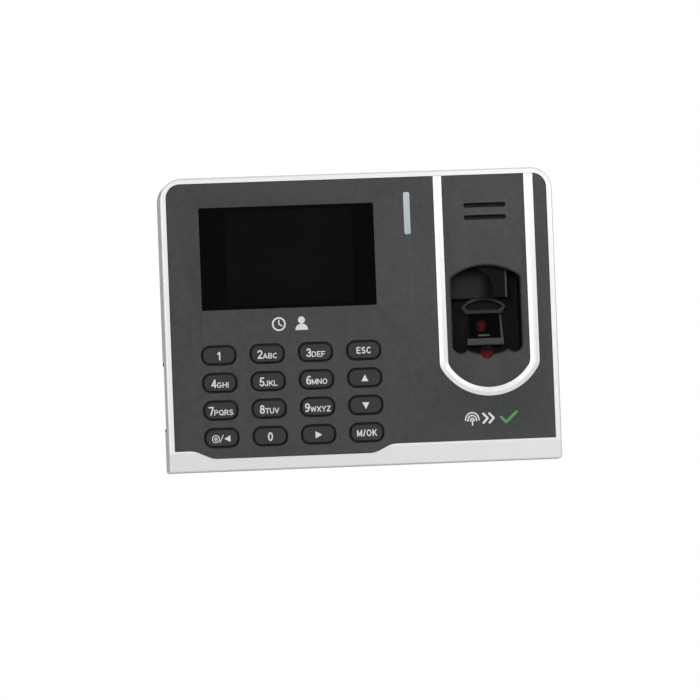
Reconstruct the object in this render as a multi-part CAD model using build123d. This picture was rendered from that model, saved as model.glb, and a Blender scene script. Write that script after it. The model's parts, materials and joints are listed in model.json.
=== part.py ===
"""Wall-mounted fingerprint terminal, one STEP file per piece, millimetres.

Frame: X runs to the right seen from the front, Z is up, and the front looks towards -Y.
The origin is on the wall, at the centre of the bracket's four screw holes.
Most pieces are flat layers, so they are drawn as outlines seen from the front and placed by
their depth, which is measured backwards from the front edge of the frame.
"""
import os
from math import radians, tan

from build123d import *

# ---------------------------------------------------------------- driving dimensions (mm)
WIDTH = 180.0               # across the front edge of the frame
HEIGHT = 134.0              # top to bottom of the front edge
DEPTH = 36.0                # front edge to wall
DRAFT = tan(radians(2.0))           # top and bottom walls open towards the back
SIDE_DRAFT = tan(radians(4.0))      # so do the side walls, by more
CORNER_R = 10.0             # top corners of the frame
FOOT_R = 1.2                # bottom corners of the frame
WALL = 2.2                  # case wall thickness
PARTING = 18.0              # depth of the joint between front frame and rear cover
CREST_R = 0.8               # rounding of the frame's front edge
GAP = 0.05                  # assembly gap between fixed pieces
THROUGH = 1.0               # how far a cutting tool runs past the face it starts from

PANEL_HALF = 87.4           # half width of the dark panel
PANEL_TOP = 64.4
PANEL_LOW = -57.5           # lower edge at both sides
PANEL_DIP = -61.4           # lower edge under the keypad
PANEL_R = 6.5               # top corners of the panel
DIP_LEFT, DIP_RIGHT = (-78.6, -70.0), (3.9, 11.9)       # where the lower edge steps down and up
DIP_R = 10.0                # rounding of those steps
PANEL_FACE = 0.9            # depth of the panel's face behind the frame's crest
PANEL_BACK = 3.2            # depth of the panel's back
LIP_TOP, LIP_SLOPE = -58.5, tan(radians(7.0))   # the frame's face leans back below this height
LEDGE = 3.0                 # width of the frame's ledge behind the panel
LEDGE_BACK = 5.2            # depth of the back of that ledge

WINDOW_X, WINDOW_Z = -32.65, 29.75      # centre of the display window
WINDOW_W, WINDOW_H = 80.1, 46.9
WINDOW_T = 1.2
DISPLAY_X = -31.8                       # centre of the display behind it
DISPLAY_W, DISPLAY_H = 57.6, 43.2       # lit area, 2.8 inch 4:3
TRAY_W, TRAY_H = 69.0, 50.0             # metal tray of the display module
TRAY_FRONT, TRAY_BACK = 4.0, 8.4
GLASS_W, GLASS_H, GLASS_BACK = 65.0, 46.6, 6.0

LIGHT_X, LIGHT_Z = 22.8, 47.8           # centre of the status light bar
LIGHT_W, LIGHT_H = 3.0, 19.5

KEY_X, KEY_Z = -65.75, -14.3            # centre of the top left key
KEY_PITCH_X, KEY_PITCH_Z = 22.1, 12.55
KEY_W, KEY_H, KEY_R = 14.6, 7.7, 3.3
FLANGE_LIP = 1.2                        # how far a key's flange reaches past its sides, all round
KEY_GAP = 0.85                          # key to panel, all round
KEY_FACE = 0.6                          # depth of the key's face
KEY_TRAVEL = 0.9
FLANGE_FRONT = PANEL_BACK + 0.15        # the key's flange stops behind the panel
FLANGE_BACK = 4.1
FOOT_BACK = 5.0                         # the key's foot, which rests on its dome
MAT_FRONT = FOOT_BACK + KEY_TRAVEL + 0.4        # front of the rubber sheet between the domes
MAT_BACK = MAT_FRONT + 0.7
KEYPAD_X = KEY_X + 1.5 * KEY_PITCH_X    # centre of mat and contact board
KEYPAD_Z = KEY_Z - 1.5 * KEY_PITCH_Z
KEYPAD_W, KEYPAD_H = 95.0, 50.0
KEYPAD_T = 1.6
KEYPAD_BACK = MAT_BACK + KEYPAD_T       # back of the contact board
KEYPAD_POST_R = 2.4         # screw posts that hold mat and board to the panel
POST_HOLE_R = 1.0           # pilot holes for the small screws
DOME_RIM_R, DOME_TOP_R, DOME_HOLLOW_R = 4.4, 2.8, 2.3
KEYPAD_POSTS = [(KEYPAD_X + x, KEYPAD_Z + z) for x in (-44.5, 44.5) for z in (-16, 16)]
KEY_NAMES = [
    ["key_1", "key_2", "key_3", "key_escape"],
    ["key_4", "key_5", "key_6", "key_up"],
    ["key_7", "key_8", "key_9", "key_down"],
    ["key_left", "key_0", "key_right", "key_ok"],
]

SENSOR_X = 57.8             # middle of the finger well
WELL_HALF = 16.0            # half width of the finger opening
WELL_TOP = 22.6             # crown of its arch
WELL_SHOULDER = 17.2        # where the arch meets the sides
WELL_BOTTOM = -18.2         # middle of its lower edge
WELL_CUSP, WELL_LOBE, WELL_SIDE = (9.6, 2.3), (13.7, 1.2), 3.8      # out and up from there
WELL_CORNER_R = 1.8
WELL_FLOOR = 15.4           # depth of the well's floor
WELL_WALL = 1.5
TRIM_X, TRIM_IN_X = 58.3, 58.1          # middles of the U trim's outer and inner edges
TRIM_OUT, TRIM_IN = 23.0, 19.0          # half widths of the U trim
TRIM_ARC_Z = -11.5          # centre height of the U trim's round bottom
TRIM_ARC_R, TRIM_IN_R = 25.7, 21.8      # outer and inner radius of that bottom
TRIM_CORNER_R = 6.0
RIDGE_W, RIDGE_D = 1.7, 0.5             # slopes on both sides of the trim's flat crest
SLOT_X, SLOT_W, SLOT_H = 58.7, 19.5, 2.2
SLOT_Z = (50.4, 44.8)       # the two sound slots
SPEAKER_Z = sum(SLOT_Z) / 2
SPEAKER_R = 13.5
PILOT_X, PILOT_Z, PILOT_R = 57.3, -17.0, 3.1    # red light guide under the well

BEZEL_HALF = 8.4            # sensor surround, half width
BEZEL_TOP, BEZEL_LOW = 0.6, -14.0
BEZEL_FRONT_TOP, BEZEL_FRONT_LOW = 12.8, 8.8    # its face leans back towards the top
BEZEL_TAPER, BEZEL_NARROW = -3.0, 0.7   # degrees and width that its right side leans in at the top
GLASS_HALF, GLASS_LOW = 7.1, -10.6
GLASS_SINK = 0.5            # glass face behind the surround's face
GUIDE_FRONT, GUIDE_RIGHT, GUIDE_LOW = 5.6, 68.2, 8.0    # block above the sensor
BOWL_X, BOWL_Z, BOWL_LIFT = 49.0, 12.0, 6.0             # hollow in its front, centred before it
BOWL_SIZE = (15.4, 10.6, 12.9)
GUIDE_EDGE = 0.9            # bevel of the block's right edge
STOP_HALF, STOP_LOW, STOP_TOP, STOP_RIM = 10.3, 0.9, 8.6, 1.5   # arch over the glass
HOUSING_BACK, HOUSING_HALF = 25.4, 11.0         # black box behind the glass
LENS_Z, LENS_R = -6.0, 3.5

BAY_Z0, BAY_Z1 = -47.0, -18.0           # port bay, inside
BAY_D0, BAY_D1 = 12.4, 25.2
BAY_FLOOR_X = -86.6
BAY_WALL = 1.3

USB_Z, JACK_Z, RESET_Z = -39.0, -23.4, -30.3
USB_W, USB_H = 13.2, 6.8
RESET_DEPTH, RESET_R = 19.4, 0.9

BOARD_FRONT, BOARD_T = 22.0, 1.6        # main board
JACK_DEPTH, JACK_BORE = BOARD_FRONT - 5.2, 3.2          # power socket's axis and bore
BOARD_X0, BOARD_X1, BOARD_Z0, BOARD_Z1 = -79.0, 38.0, -54.0, 53.0
POSTS = [(-75, 49), (34, 26), (-75, -50), (34, -50)]

COVER_BACK = 35.5           # rear face of the rear cover
COVER_INSET = 1.6           # that face lies this far inside the front edge's outline
STEP = 0.4                  # step from the front frame in to the rear cover at the joint
POCKET_HALF_W, POCKET_HALF_H = 64.0, 44.0
POCKET_FLOOR = 31.0         # depth of the floor that faces the bracket
CASE_SCREWS = [(x, z) for x in (-81.5, 81.5) for z in (-58.5, 58.5)]
BOSS_R, TUBE_R = 3.6, 4.9   # screw bosses in the front frame and tubes in the rear cover
RIB_OUT, RIB_W, RIB_T = 4.0, 6.5, 1.6   # ribs that tie the bosses to the side walls
CASE_HOLE_R = 1.3           # pilot holes for the case screws
CASE_CLEAR_R, CASE_SINK_R = 1.7, 3.2    # holes for their shanks and heads in the rear cover
SEAT = 24.0                 # depth of the case screws' seats

BRACKET_T = 1.5
BRACKET_W, BRACKET_H = 120.0, 80.0
HOLE_X, HOLE_Z, HOLE_R = 100.0, 60.0, 2.25      # wall screw pattern
HOOK_X, HOOK_Z, HOOK_W = 21.0, 18.0, 12.0
TONGUE_HALF, TONGUE_Z = 8.0, -61.5
LOCK_DEPTH = 30.5           # depth of the security screw's axis
LOCK_SEAT = -64.2           # height of the face its head bears on


# ---------------------------------------------------------------- drawing helpers
def view(depth):
    """Drawing plane at a depth: its X is the part's X and its Y is the part's Z."""
    return Plane(origin=(0, depth - DEPTH, 0), x_dir=(1, 0, 0), z_dir=(0, -1, 0))


def slab(outline, front, back):
    """Solid of an outline seen from the front, between two depths."""
    return extrude(view(back) * outline, amount=back - front, dir=(0, -1, 0))


def rect(x, z, width, height, radius=0.0):
    """Rectangle round a centre, with rounded corners if a radius is given."""
    shape = RectangleRounded(width, height, radius) if radius else Rectangle(width, height)
    return Pos(x, z) * shape


def disc(x, z, radius):
    return Pos(x, z) * Circle(radius)


def block(x0, x1, front, back, z0, z1):
    """Box between two X values, two depths and two Z values."""
    middle = ((x0 + x1) / 2, (front + back) / 2 - DEPTH, (z0 + z1) / 2)
    return Pos(*middle) * Box(x1 - x0, back - front, z1 - z0)


def rod(x, z, radius, front, back):
    """Round bar along the depth."""
    return slab(disc(x, z, radius), front, back)


def side_rod(depth, z, radius, x0, x1):
    """Round bar along X."""
    plane = Plane(origin=(x0, depth - DEPTH, z), z_dir=(1, 0, 0))
    return extrude(plane * Circle(radius), amount=x1 - x0)


def wedge(points, half_width, x):
    """Solid of a side profile, given as depth and Z, spread to both sides of an X."""
    plane = Plane(origin=(x - half_width, -DEPTH, 0), x_dir=(0, 1, 0), z_dir=(1, 0, 0))
    face = plane * make_face(Polyline(*points, close=True))
    return extrude(face, amount=2 * half_width, dir=(1, 0, 0))


def tube(points, radii, radius):
    """Round lead along a path with tangent bends; points are X, depth, Z."""
    path = FilletPolyline(*[(x, d - DEPTH, z) for x, d, z in points], radius=radii)
    start = Plane(origin=path @ 0, z_dir=path % 0)
    return sweep(start * Circle(radius), path=path)


def ribbon(points, bend, width, thickness, across):
    """Flat cable along a path of X, depth, Z points; across is its width direction."""
    path = FilletPolyline(*[(x, d - DEPTH, z) for x, d, z in points], radius=bend)
    start = Plane(origin=path @ 0, x_dir=across, z_dir=path % 0)
    return sweep(start * Rectangle(width, thickness), path=path)


def screw(x, z, seat, tip, head_r, shank_r, head_h):
    """Pan head screw along the depth, from the underside of its head to its tip."""
    away = 1 if seat > tip else -1
    shank = rod(x, z, shank_r, min(seat, tip), max(seat, tip))
    crown = seat + away * head_h
    head = rod(x, z, head_r, min(seat, crown), max(seat, crown))
    head = fillet(head.faces().sort_by(Axis.Y)[-1 if away > 0 else 0].edges(), head_h * 0.45)
    socket_end = crown - away * head_h * 0.6
    cross = rect(x, z, head_r * 1.2, head_r * 0.26) + rect(x, z, head_r * 0.26, head_r * 1.2)
    return shank + head - slab(cross, min(crown, socket_end), max(crown, socket_end))


# ---------------------------------------------------------------- shared outlines
def case_outline(grow, depth=0.0):
    """Front view of the case at a depth: round top corners and nearly square bottom corners."""
    level = grow + depth * DRAFT
    shape = Rectangle(WIDTH + 2 * (grow + depth * SIDE_DRAFT), HEIGHT + 2 * level)
    shape = fillet(shape.vertices().group_by(Axis.Y)[-1], CORNER_R + level)
    return fillet(shape.vertices().group_by(Axis.Y)[0], FOOT_R)


def drafted(grow, front, back):
    """Case outline grown by an amount, with the walls' draft, between two depths."""
    return loft([view(d) * case_outline(grow, d) for d in (front, back)], ruled=True)


def panel_outline(grow):
    """Front view of the dark panel, whose lower edge dips under the keypad."""
    half, top = PANEL_HALF + grow, PANEL_TOP + grow
    low, dip = PANEL_LOW - grow, PANEL_DIP - grow
    shape = Polygon(
        (-half, top), (-half, low), (DIP_LEFT[0], low), (DIP_LEFT[1], dip),
        (DIP_RIGHT[0], dip), (DIP_RIGHT[1], low), (half, low), (half, top),
        align=None,
    )
    shape = fillet(shape.vertices().group_by(Axis.Y)[-1], PANEL_R + grow)
    steps = shape.vertices().filter_by(lambda v: DIP_LEFT[0] - 1 < v.X < DIP_RIGHT[1] + 1)
    return fillet(steps, DIP_R)


def well_outline(grow):
    """Front view of the finger opening: arched top, straight sides, lobed lower edge."""
    half, top, bottom = WELL_HALF + grow, WELL_TOP + grow, WELL_BOTTOM - grow
    shoulder = WELL_SHOULDER + grow * 0.6
    cusp_x, cusp_z = WELL_CUSP[0], bottom + WELL_CUSP[1]
    lobe_x, lobe_z = WELL_LOBE[0], bottom + WELL_LOBE[1]
    side_z = bottom + WELL_SIDE
    wire = Wire([
        ThreePointArc((-half, shoulder), (0, top), (half, shoulder)).edge(),
        Line((half, shoulder), (half, side_z)).edge(),
        ThreePointArc((half, side_z), (lobe_x, lobe_z), (cusp_x, cusp_z)).edge(),
        ThreePointArc((cusp_x, cusp_z), (0, bottom), (-cusp_x, cusp_z)).edge(),
        ThreePointArc((-cusp_x, cusp_z), (-lobe_x, lobe_z), (-half, side_z)).edge(),
        Line((-half, side_z), (-half, shoulder)).edge(),
    ])
    shape = Sketch() + Face(wire)
    shape = fillet(shape.vertices().group_by(Axis.Y)[-1], WELL_CORNER_R)
    return Pos(SENSOR_X, 0) * shape


def u_outline(half, radius, top):
    """Filled U: straight sides down to a wide round bottom."""
    low = TRIM_ARC_Z - radius
    bowl = disc(0, TRIM_ARC_Z, radius)
    bowl += rect(0, (top + TRIM_ARC_Z) / 2, 2 * radius, top - TRIM_ARC_Z)
    shape = bowl & rect(0, (top + low) / 2, 2 * half, top - low + 1)
    corners = shape.vertices().filter_by(lambda v: v.Y < TRIM_ARC_Z)
    return fillet(corners, TRIM_CORNER_R)


def trim_outline(grow):
    """The U trim: an outer U less an inner one, up to the panel's top edge."""
    outer = u_outline(TRIM_OUT + grow, TRIM_ARC_R + grow, PANEL_TOP - GAP)
    inner = u_outline(TRIM_IN - grow, TRIM_IN_R - grow, PANEL_TOP - GAP)
    return Pos(TRIM_X, 0) * outer - Pos(TRIM_IN_X, 0) * inner


def key_centres():
    """Name and centre of every key, row by row from the top left."""
    for row, names in enumerate(KEY_NAMES):
        for column, name in enumerate(names):
            yield name, KEY_X + column * KEY_PITCH_X, KEY_Z - row * KEY_PITCH_Z


# ---------------------------------------------------------------- front of the case
def make_front_frame():
    frame = drafted(0, 0, PARTING)
    low = -HEIGHT / 2 - 2
    frame -= wedge([(0, LIP_TOP), ((LIP_TOP - low) * LIP_SLOPE, low), (-1, low), (-1, LIP_TOP)], WIDTH, 0)
    face, lip = frame.faces().sort_by(Axis.Y)[:2]
    rim = [e for e in face.edges() + lip.edges() if abs(e.center().Z - LIP_TOP) > 0.01]
    frame = fillet(rim, CREST_R)
    frame -= slab(panel_outline(GAP), -1, PANEL_BACK)
    frame -= slab(panel_outline(-LEDGE), PANEL_BACK - 1, LEDGE_BACK + 1)
    frame -= drafted(-WALL, LEDGE_BACK, PARTING + 1)
    for x, z in CASE_SCREWS:
        frame += rod(x, z, BOSS_R, LEDGE_BACK - 1, PARTING)
        rib_x = x + (RIB_OUT if x > 0 else -RIB_OUT)
        frame += slab(rect(rib_x, z, RIB_W, RIB_T), LEDGE_BACK - 1, PARTING)
        frame -= rod(x, z, CASE_HOLE_R, LEDGE_BACK + 1, PARTING)
    bay = (BAY_D0 - BAY_WALL - GAP, PARTING + THROUGH, BAY_Z0 - BAY_WALL - GAP, BAY_Z1 + BAY_WALL + GAP)
    return frame - block(-WIDTH, -WIDTH / 2 + 4, *bay)


def make_front_panel():
    panel = slab(panel_outline(0), PANEL_FACE, PANEL_BACK)
    panel -= slab(well_outline(0), PANEL_FACE, PANEL_BACK)
    lip = [(0.0, 0.9), (0.3, 0.3), (0.9, 0.0)]      # depth behind the face and growth
    panel -= loft([view(PANEL_FACE + d) * well_outline(g) for d, g in lip], ruled=True)
    panel -= slab(disc(PILOT_X, PILOT_Z, PILOT_R + GAP), 0, PANEL_BACK)
    panel -= slab(trim_outline(GAP), 0, PANEL_FACE + 0.6)
    window = rect(WINDOW_X, WINDOW_Z, WINDOW_W, WINDOW_H, 0.5)
    panel -= slab(window, 0, PANEL_FACE + WINDOW_T + GAP)
    panel -= slab(rect(DISPLAY_X, WINDOW_Z, DISPLAY_W + 2, DISPLAY_H + 1), 0, PANEL_BACK)
    panel -= slab(rect(LIGHT_X, LIGHT_Z, LIGHT_W + 2 * GAP, LIGHT_H + 2 * GAP, 0.9), 0, PANEL_BACK)
    for z in SLOT_Z:
        panel -= slab(Pos(SLOT_X, z) * SlotOverall(SLOT_W, SLOT_H), 0, PANEL_BACK)
    hole = (KEY_W + 2 * KEY_GAP, KEY_H + 2 * KEY_GAP, KEY_R + KEY_GAP)
    for _, x, z in key_centres():
        panel -= slab(rect(x, z, *hole), 0, PANEL_BACK)
    for x, z in KEYPAD_POSTS:
        panel += rod(x, z, KEYPAD_POST_R, PANEL_BACK - 0.5, MAT_BACK)
        panel -= rod(x, z, POST_HOLE_R, PANEL_BACK + 0.6, MAT_BACK)
    return panel


def make_sensor_trim():
    trim = slab(trim_outline(0), 0, PANEL_FACE + 0.6 - GAP)
    face = trim.faces().sort_by(Axis.Y)[0]
    sides = face.edges().filter_by(lambda e: e.center().Z < PANEL_TOP - 1)
    trim = chamfer(sides, RIDGE_W, RIDGE_D, reference=face)
    return fillet(trim.faces().sort_by(Axis.Y)[0].edges().filter_by(
        lambda e: e.center().Z < PANEL_TOP - 1), 0.3)


def make_lcd_window():
    edge = 2 * GAP
    outline = rect(WINDOW_X, WINDOW_Z, WINDOW_W - edge, WINDOW_H - edge, 0.5)
    window = slab(outline, PANEL_FACE, PANEL_FACE + WINDOW_T)
    return chamfer(window.faces().sort_by(Axis.Y)[0].edges(), 0.12)


def make_status_light_pipe():
    pipe = slab(rect(LIGHT_X, LIGHT_Z, LIGHT_W, LIGHT_H, 0.9), PANEL_FACE - 0.15, 5.4)
    pipe = fillet(pipe.faces().sort_by(Axis.Y)[0].edges(), 0.3)
    return pipe + slab(rect(LIGHT_X, LIGHT_Z, LIGHT_W + 2, LIGHT_H + 2, 1), PANEL_BACK, 4.2)


def make_status_led_board():
    board = [slab(rect(LIGHT_X, LIGHT_Z, 8, 26), 6.4, 7.4)]
    for dz in (-5, 5):
        board.append(slab(rect(LIGHT_X, LIGHT_Z + dz, 2.0, 3.2), 5.6, 6.4))
    return board


# ---------------------------------------------------------------- keypad
def keypad_outline(radius):
    """Outline of mat and board, notched round the frame's lower left boss."""
    sheet = rect(KEYPAD_X, KEYPAD_Z, KEYPAD_W, KEYPAD_H, radius)
    return sheet - disc(*CASE_SCREWS[0], BOSS_R + 0.6)


def make_key(x, z):
    cap = slab(rect(x, z, KEY_W, KEY_H, KEY_R), KEY_FACE, FLANGE_FRONT)
    cap = fillet(cap.faces().sort_by(Axis.Y)[0].edges(), 0.55)
    width, height = KEY_W + 2 * FLANGE_LIP, KEY_H + 2 * FLANGE_LIP
    flange = slab(rect(x, z, width, height, KEY_R + FLANGE_LIP), FLANGE_FRONT, FLANGE_BACK)
    return cap + flange + rod(x, z, 2.4, FLANGE_BACK, FOOT_BACK)


def make_keypad_mat():
    """Rubber sheet with a hollow dome under each key's foot."""
    mat = slab(keypad_outline(2), MAT_FRONT, MAT_BACK)
    for _, x, z in key_centres():
        rim, crown = view(MAT_FRONT) * disc(x, z, DOME_RIM_R), view(FOOT_BACK) * disc(x, z, DOME_TOP_R)
        mat += loft([rim, crown], ruled=True)
        mat -= rod(x, z, DOME_HOLLOW_R, FOOT_BACK + 0.6, MAT_BACK)
    for x, z in KEYPAD_POSTS:
        mat -= rod(x, z, KEYPAD_POST_R + GAP, MAT_FRONT - THROUGH, MAT_BACK)
    return mat


def make_keypad_board():
    board = slab(keypad_outline(1), MAT_BACK, KEYPAD_BACK)
    for x, z in KEYPAD_POSTS:
        board -= rod(x, z, 1.3, MAT_BACK, KEYPAD_BACK)
    return board


def make_keypad_flex():
    start = KEYPAD_BACK + 0.15
    route = [(-45, start, -40), (-45, start, -30), (-45, 20.3, -24), (-45, 20.3, -16)]
    return ribbon(route, 1.5, 12, 0.3, (1, 0, 0))


# ---------------------------------------------------------------- display
def make_lcd_gasket():
    ring = rect(DISPLAY_X, WINDOW_Z, TRAY_W, TRAY_H - 1, 1)
    ring -= rect(DISPLAY_X, WINDOW_Z, DISPLAY_W + 1.6, DISPLAY_H + 0.8)
    return slab(ring, PANEL_BACK, TRAY_FRONT)


def make_lcd_glass():
    return slab(rect(DISPLAY_X, WINDOW_Z, GLASS_W, GLASS_H), TRAY_FRONT, GLASS_BACK)


def make_lcd_frame():
    tray = slab(rect(DISPLAY_X, WINDOW_Z, TRAY_W, TRAY_H, 0.8), TRAY_FRONT, TRAY_BACK)
    return tray - slab(rect(DISPLAY_X, WINDOW_Z, GLASS_W + 0.2, GLASS_H + 0.2), 0, GLASS_BACK)


def make_lcd_flex():
    start = TRAY_BACK + 0.15
    route = [(-32, start, 26), (-32, start, 12), (-32, 14.5, 0), (-32, 20.3, 6), (-32, 20.3, 16)]
    return ribbon(route, 2.0, 22, 0.3, (1, 0, 0))


# ---------------------------------------------------------------- finger well and sensor
def make_finger_recess():
    well = slab(well_outline(WELL_WALL), PANEL_BACK, WELL_FLOOR + WELL_WALL)
    well -= slab(well_outline(0), PANEL_BACK, WELL_FLOOR)
    well -= rod(PILOT_X, PILOT_Z, PILOT_R + GAP, PANEL_BACK, 7.5)
    low, high = GLASS_LOW - 0.6, BEZEL_TOP - 0.6
    return well - block(SENSOR_X - GLASS_HALF, SENSOR_X + GLASS_HALF, 10, 20, low, high)


def make_finger_guide():
    """Block in the top of the well, hollowed from its left side to lead the fingertip in."""
    inside = slab(well_outline(-GAP), GUIDE_FRONT, WELL_FLOOR)
    guide = inside & block(0, GUIDE_RIGHT, 0, DEPTH, GUIDE_LOW, HEIGHT / 2)
    right_edge = guide.edges().filter_by(Axis.Z).sort_by(Axis.X)[-2:].sort_by(Axis.Y)[0]
    guide = chamfer(right_edge, GUIDE_EDGE)
    hollow = Pos(BOWL_X, GUIDE_FRONT - BOWL_LIFT - DEPTH, BOWL_Z) * scale(Sphere(1), by=BOWL_SIZE)
    return guide - hollow


def make_finger_stop():
    """Arched rim over the glass, with a dished middle for the fingertip."""
    def arch(inset):
        side, foot = STOP_HALF - inset, STOP_HALF - 1.8 - inset
        low, shoulder, top = STOP_LOW + inset, STOP_LOW + 3.2, STOP_TOP - inset
        return Pos(SENSOR_X - 0.4, 0) * make_face([
            Line((-foot, low), (foot, low)).edge(),
            Line((foot, low), (side, shoulder)).edge(),
            ThreePointArc((side, shoulder), (0, top), (-side, shoulder)).edge(),
            Line((-side, shoulder), (-foot, low)).edge(),
        ])
    stop = slab(arch(0), 10.6, WELL_FLOOR) & block(0, WIDTH, 0, DEPTH, -20, GUIDE_LOW - GAP)
    return stop - slab(arch(STOP_RIM), 9, 14.4)


def sensor_face(z):
    """Depth of the surround's leaning face at a height."""
    share = (z - BEZEL_LOW) / (BEZEL_TOP - BEZEL_LOW)
    return BEZEL_FRONT_LOW + share * (BEZEL_FRONT_TOP - BEZEL_FRONT_LOW)


def make_sensor_bezel():
    profile = [
        (BEZEL_FRONT_LOW, BEZEL_LOW), (BEZEL_FRONT_TOP, BEZEL_TOP),
        (WELL_FLOOR, BEZEL_TOP), (WELL_FLOOR, BEZEL_LOW),
    ]
    bezel = wedge(profile, BEZEL_HALF, SENSOR_X)
    bezel = fillet(bezel.edges().filter_by(Axis.X).sort_by(Axis.Y)[0], 0.8)
    beside = Box(WALL, 2 * DEPTH, HEIGHT / 2, align=(Align.MIN, Align.CENTER, Align.CENTER))
    top_corner = Pos(SENSOR_X + BEZEL_HALF - BEZEL_NARROW, 0, BEZEL_TOP)
    glass = block(SENSOR_X - BEZEL_HALF - THROUGH, SENSOR_X + GLASS_HALF + GAP, 0, DEPTH,
                  GLASS_LOW - GAP, BEZEL_TOP + THROUGH)
    return bezel - top_corner * Rot(0, BEZEL_TAPER, 0) * beside - glass


def make_sensor_prism():
    top = BEZEL_TOP - 0.6 - GAP
    low_front, top_front = sensor_face(GLASS_LOW) + GLASS_SINK, sensor_face(top) + GLASS_SINK
    profile = [(low_front, GLASS_LOW), (top_front, top), (19.5, top), (21.5, GLASS_LOW)]
    return wedge(profile, GLASS_HALF - GAP, SENSOR_X)


def make_sensor_light_guide():
    guide = rod(PILOT_X, PILOT_Z, PILOT_R, PANEL_FACE, 7.4)
    return fillet(guide.faces().sort_by(Axis.Y)[0].edges(), 0.5)


def make_sensor_housing():
    """Black box behind the well that holds the prism and the lens."""
    front = WELL_FLOOR + WELL_WALL
    x0, x1 = SENSOR_X - HOUSING_HALF, SENSOR_X + HOUSING_HALF
    box = block(x0, x1, front, HOUSING_BACK, -15, 4)
    box -= block(x0 + 1.4, x1 - 1.4, front, 21.8, -13.6, 2.6)
    return box - rod(SENSOR_X, LENS_Z, LENS_R + GAP, 20, HOUSING_BACK)


def make_sensor_lens():
    barrel = rod(SENSOR_X, LENS_Z, LENS_R, 22.4, HOUSING_BACK)
    bowl = Pos(SENSOR_X, 20.4 - DEPTH, LENS_Z) * Sphere(3.2)
    return fillet(barrel.faces().sort_by(Axis.Y)[0].edges(), 0.5) - bowl


def make_sensor_board():
    back = HOUSING_BACK + 1.2
    board = slab(rect(SENSOR_X, -5.5, 26, 24, 1), HOUSING_BACK, back)
    plug = slab(rect(SENSOR_X - 9, -5.5, 4, 12), back, back + 1.4)
    return [board, plug]


def make_sensor_cable():
    height = HOUSING_BACK + 1.9
    x0 = SENSOR_X - 11 - GAP
    route = [(x0, height, -5.5), (x0 - 4, height, -5.5), (x0 - 8, 24.9, -5.5), (35.6, 24.9, -5.5)]
    return ribbon(route, 1.5, 10, 0.3, (0, 0, 1))


# ---------------------------------------------------------------- sound
def make_speaker():
    """Steel basket with its magnet pot."""
    rim = rod(SLOT_X, SPEAKER_Z, SPEAKER_R, 4.4, 6.4)
    basket = rim + rod(SLOT_X, SPEAKER_Z, 11.5, 6.4, 8.0) + rod(SLOT_X, SPEAKER_Z, 7.5, 8.0, 10.4)
    return basket - rod(SLOT_X, SPEAKER_Z, 12.6, 4.4, 5.6) - rod(SLOT_X, SPEAKER_Z, 9.5, 5.6, 7.2)


def make_speaker_cone():
    rim, apex = view(4.8) * disc(SLOT_X, SPEAKER_Z, 12.4), view(6.9) * disc(SLOT_X, SPEAKER_Z, 4.0)
    inner_rim, inner_apex = view(4.7) * disc(SLOT_X, SPEAKER_Z, 12.1), view(6.6) * disc(
        SLOT_X, SPEAKER_Z, 3.6)
    cone = loft([rim, apex], ruled=True) - loft([inner_rim, inner_apex], ruled=True)
    cap = Pos(SLOT_X, 7.9 - DEPTH, SPEAKER_Z) * Sphere(3.2)
    return cone + (cap & rod(SLOT_X, SPEAKER_Z, 4.2, 4.7, 6.8))


def make_speaker_gasket():
    ring = disc(SLOT_X, SPEAKER_Z, SPEAKER_R) - disc(SLOT_X, SPEAKER_Z, 11.6)
    return slab(ring, PANEL_BACK, 4.4)


def make_speaker_lead():
    """Two wires from the speaker's edge to the main board."""
    wires = []
    for dz in (-1.0, 1.0):
        z = SPEAKER_Z + dz
        route = [(SLOT_X - 11.6, 7.2, z), (38, 7.2, z), (31, 10.5, z), (31, 19, z)]
        wires.append(tube(route, [15.0, 5.4], 0.6))
    return wires


def make_light_lead():
    """Two wires from the status light's board to the main board."""
    wires = []
    for dx in (-1.0, 1.0):
        x = LIGHT_X + dx
        route = [(x, 7.4, 38), (x, 12, 38), (x, 14.5, 31.8), (x, 19, 31.8)]
        wires.append(tube(route, [3.0, 3.0], 0.6))
    return wires


# ---------------------------------------------------------------- electronics
def make_main_board():
    width, height = BOARD_X1 - BOARD_X0, BOARD_Z1 - BOARD_Z0
    outline = rect((BOARD_X0 + BOARD_X1) / 2, (BOARD_Z0 + BOARD_Z1) / 2, width, height, 2)
    board = slab(outline, BOARD_FRONT, BOARD_FRONT + BOARD_T)
    for x, z in POSTS:
        board -= rod(x, z, 1.3, BOARD_FRONT - 1, BOARD_FRONT + BOARD_T)
    return board


def make_board_chips():
    """Processor, memories, regulators and coils on the front of the main board."""
    places = [(-10, 20, 14, 14, 1.4), (-10, 2, 9, 11, 1.2), (-10, -14, 12, 18, 1.2),
              (12, 20, 10, 10, 1.2), (14, 4, 7, 7, 3.2), (14, -8, 5, 6, 1.5),
              (-58, -8, 8, 8, 4.0), (-58, 6, 5, 6, 1.5), (-58, 40, 6, 8, 1.5)]
    return [slab(rect(x, z, w, h), BOARD_FRONT - t, BOARD_FRONT) for x, z, w, h, t in places]


def make_board_connectors():
    """Sockets for the display, keypad, speaker, light and sensor cables."""
    front = [(-32, 18.2, 25, 4), (-45, -13.8, 15, 4), (31, SPEAKER_Z, 5, 7), (LIGHT_X, 31.8, 7, 5)]
    sockets = []
    for x, z, w, h in front:
        sockets.append(slab(rect(x, z, w, h), BOARD_FRONT - 3, BOARD_FRONT))
    back = BOARD_FRONT + BOARD_T
    sockets.append(slab(rect(33.4, -5.5, 4, 12), back, back + 2.4))
    return sockets


def make_coin_cell_holder():
    back = BOARD_FRONT + BOARD_T
    tray = rod(0, 36, 11.6, back, back + 3.6) - rod(0, 36, 10.1, back + 0.5, back + 3.6)
    return tray - block(-4, 4, back + 0.5, back + 4, 44, 50)


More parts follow.
